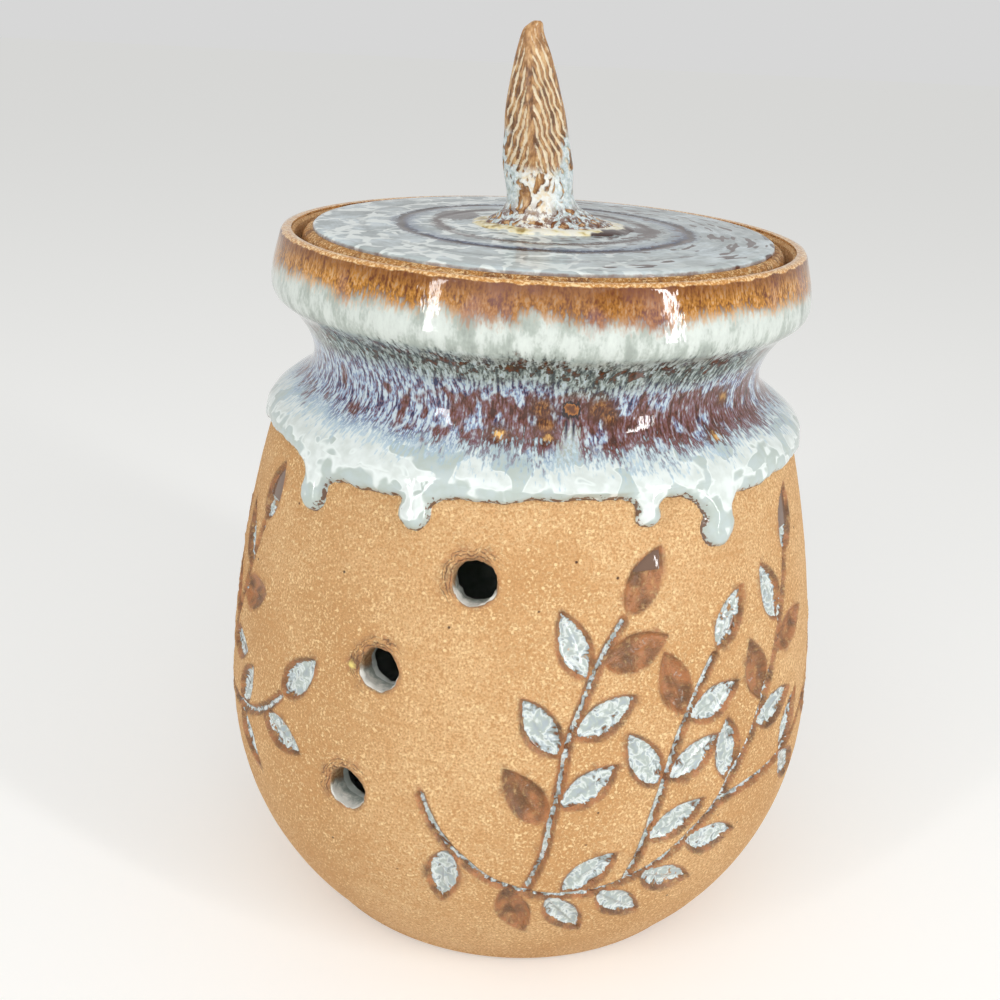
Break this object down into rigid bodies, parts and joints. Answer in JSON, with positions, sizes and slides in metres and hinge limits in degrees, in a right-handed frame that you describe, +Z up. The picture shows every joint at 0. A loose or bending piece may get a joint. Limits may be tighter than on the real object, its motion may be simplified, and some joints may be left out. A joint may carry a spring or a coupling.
{
  "type": "garlic keeper",
  "caption": "Thrown stoneware garlic keeper: a vented round jar with a glazed collar and a drop-in lid lifted by a horn-shaped knob.",
  "frame": {"origin": "middle of the foot ring's resting face", "axes": "+Z up along the axis that the jar was thrown about; -Y towards the front, where one column of vents stands left of the middle"},
  "size_m": [0.1198, 0.12, 0.17],
  "materials": {
    "bare_clay": "matte, speckled bare stoneware",
    "run_glaze": "gloss, streaked pale blue over amber",
    "lid_clay": "matte, toasted bare stoneware",
    "lid_glaze": "gloss, grey-blue with brown rings",
    "knob_clay": "satin amber-brown with pale glaze in its grooves",
    "pool_glaze": "gloss cream"
  },
  "bodies": {
    "jar": {"jar_wall": "bare_clay", "collar_glaze": "run_glaze"},
    "lid": {"lid_disc": "lid_clay", "lid_glaze": "lid_glaze", "knob": "knob_clay", "knob_foot_glaze": "pool_glaze"}
  },
  "joints": [
    {"name": "lid_lift", "type": "slide", "parent": "jar", "child": "lid", "axis": [0, 0, 1], "range_m": [0, 0.1]}
  ]
}
